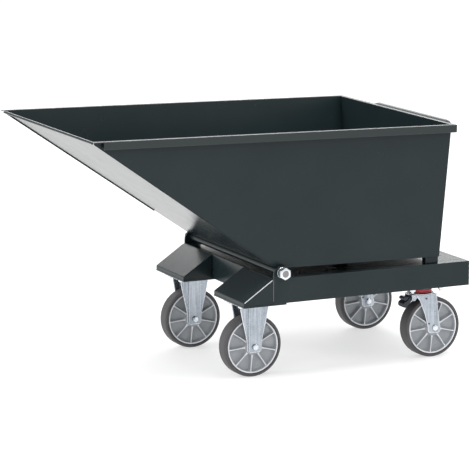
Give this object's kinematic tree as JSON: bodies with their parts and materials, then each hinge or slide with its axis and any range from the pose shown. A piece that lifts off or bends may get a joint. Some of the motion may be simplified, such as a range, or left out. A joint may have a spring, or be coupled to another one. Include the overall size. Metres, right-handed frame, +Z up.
{
  "type": "tipping skip cart",
  "caption": "Steel tipping skip cart: long-spouted hopper pivoting at the front of a low tube chassis, fixed castors ahead, swivel castors behind, push handle.",
  "frame": {"origin": "middle of the cart's footprint box, on the floor", "axes": "+Z up, +X towards the push handle, spout towards -X, left side -Y"},
  "size_m": [1.3539, 0.79, 0.8117],
  "materials": {
    "painted_steel": "semi-gloss",
    "spout_paint": "gloss",
    "zinc_plate": "bright zinc plated",
    "rubber": "matte",
    "wheel_grey": "satin",
    "bush_grey": "satin",
    "seal_red": "satin",
    "brake_black": "satin"
  },
  "bodies": {
    "chassis": {"front_cross_tube": "painted_steel", "rail_left": "painted_steel", "rail_right": "painted_steel", "rear_cross_tube": "painted_steel", "chassis_deck": "painted_steel", "rear_base_plate": "painted_steel", "foot_base_left": "painted_steel", "foot_base_right": "painted_steel", "foot_cover_left": "painted_steel", "foot_cover_right": "painted_steel", "pivot_ear_left": "painted_steel", "pivot_ear_right": "painted_steel", "pivot_shaft": "zinc_plate", "pivot_washers": "zinc_plate", "pivot_nuts": "zinc_plate", "fixed_bracket_left": "zinc_plate", "fixed_bracket_right": "zinc_plate", "front_axle_left": "zinc_plate", "front_axle_right": "zinc_plate", "front_plate_bolts": "zinc_plate", "swivel_plate_left": "zinc_plate", "swivel_plate_right": "zinc_plate", "kingpin_left": "zinc_plate", "kingpin_right": "zinc_plate", "rear_plate_bolts": "zinc_plate"},
    "skip": {"side_sheet_left": "painted_steel", "side_sheet_right": "painted_steel", "spout_sheet": "spout_paint", "floor_sheet": "painted_steel", "rear_sheet": "painted_steel", "rim_left": "painted_steel", "rim_right": "painted_steel", "rim_rear": "painted_steel", "pivot_tube": "painted_steel", "rest_block_left": "painted_steel", "rest_block_right": "painted_steel", "push_handle": "painted_steel"},
    "front_wheel_left": {"front_tyre_left": "rubber", "front_centre_left": "wheel_grey", "front_bush_left": "bush_grey"},
    "castor_left": {"seal_ring_left": "seal_red", "swivel_fork_left": "zinc_plate", "rear_axle_left": "zinc_plate"},
    "rear_wheel_left": {"rear_tyre_left": "rubber", "rear_centre_left": "wheel_grey", "rear_bush_left": "bush_grey"},
    "brake_left": {"brake_pedal_left": "brake_black"},
    "front_wheel_right": {"front_tyre_right": "rubber", "front_centre_right": "wheel_grey", "front_bush_right": "bush_grey"},
    "castor_right": {"seal_ring_right": "seal_red", "swivel_fork_right": "zinc_plate", "rear_axle_right": "zinc_plate"},
    "rear_wheel_right": {"rear_tyre_right": "rubber", "rear_centre_right": "wheel_grey", "rear_bush_right": "bush_grey"},
    "brake_right": {"brake_pedal_right": "brake_black"}
  },
  "joints": [
    {"name": "skip_tip", "type": "hinge", "parent": "chassis", "child": "skip", "pos_m": [-0.0201, 0, 0.349], "axis": [0, -1, 0], "range_deg": [0, 60]},
    {"name": "front_wheel_left_spin", "type": "hinge", "parent": "chassis", "child": "front_wheel_left", "pos_m": [-0.0781, -0.2295, 0.1], "axis": [0, 1, 0], "continuous": true},
    {"name": "front_wheel_right_spin", "type": "hinge", "parent": "chassis", "child": "front_wheel_right", "pos_m": [-0.0781, 0.2295, 0.1], "axis": [0, 1, 0], "continuous": true},
    {"name": "castor_left_swivel", "type": "hinge", "parent": "chassis", "child": "castor_left", "pos_m": [0.5409, -0.2295, 0.22], "axis": [0, 0, 1], "continuous": true},
    {"name": "rear_wheel_left_spin", "type": "hinge", "parent": "castor_left", "child": "rear_wheel_left", "pos_m": [0.5769, -0.2295, 0.1], "axis": [0, 1, 0], "continuous": true},
    {"name": "brake_left_press", "type": "hinge", "parent": "castor_left", "child": "brake_left", "pos_m": [0.5049, -0.2295, 0.2037], "axis": [0, -1, 0], "range_deg": [0, 10]},
    {"name": "castor_right_swivel", "type": "hinge", "parent": "chassis", "child": "castor_right", "pos_m": [0.5409, 0.2295, 0.22], "axis": [0, 0, 1], "continuous": true},
    {"name": "rear_wheel_right_spin", "type": "hinge", "parent": "castor_right", "child": "rear_wheel_right", "pos_m": [0.5769, 0.2295, 0.1], "axis": [0, 1, 0], "continuous": true},
    {"name": "brake_right_press", "type": "hinge", "parent": "castor_right", "child": "brake_right", "pos_m": [0.5049, 0.2295, 0.2037], "axis": [0, -1, 0], "range_deg": [0, 10]}
  ]
}
